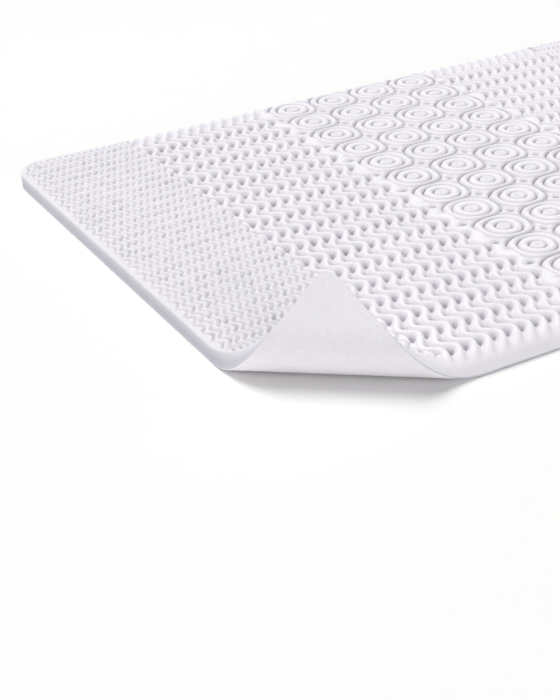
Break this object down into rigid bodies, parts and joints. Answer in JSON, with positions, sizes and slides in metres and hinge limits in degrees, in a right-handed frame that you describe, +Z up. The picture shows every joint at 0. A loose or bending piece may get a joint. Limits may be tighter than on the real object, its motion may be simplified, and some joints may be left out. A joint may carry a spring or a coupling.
{
  "type": "mattress topper",
  "caption": "White foam mattress topper, contour cut in zones of fine waves, coarse waves and ringed circles, lying flat with one corner turned up.",
  "frame": {"origin": "middle of the slab's outline, on the flat underside", "axes": "+X along the length, away from the turned-up corner; +Y across the width, away from the turned-up corner; +Z up from the underside to the contoured face"},
  "size_m": [1.9, 1.4, 0.2079],
  "materials": {
    "foam": "matte white open-cell foam"
  },
  "bodies": {
    "root": {"topper": "foam"}
  },
  "joints": []
}
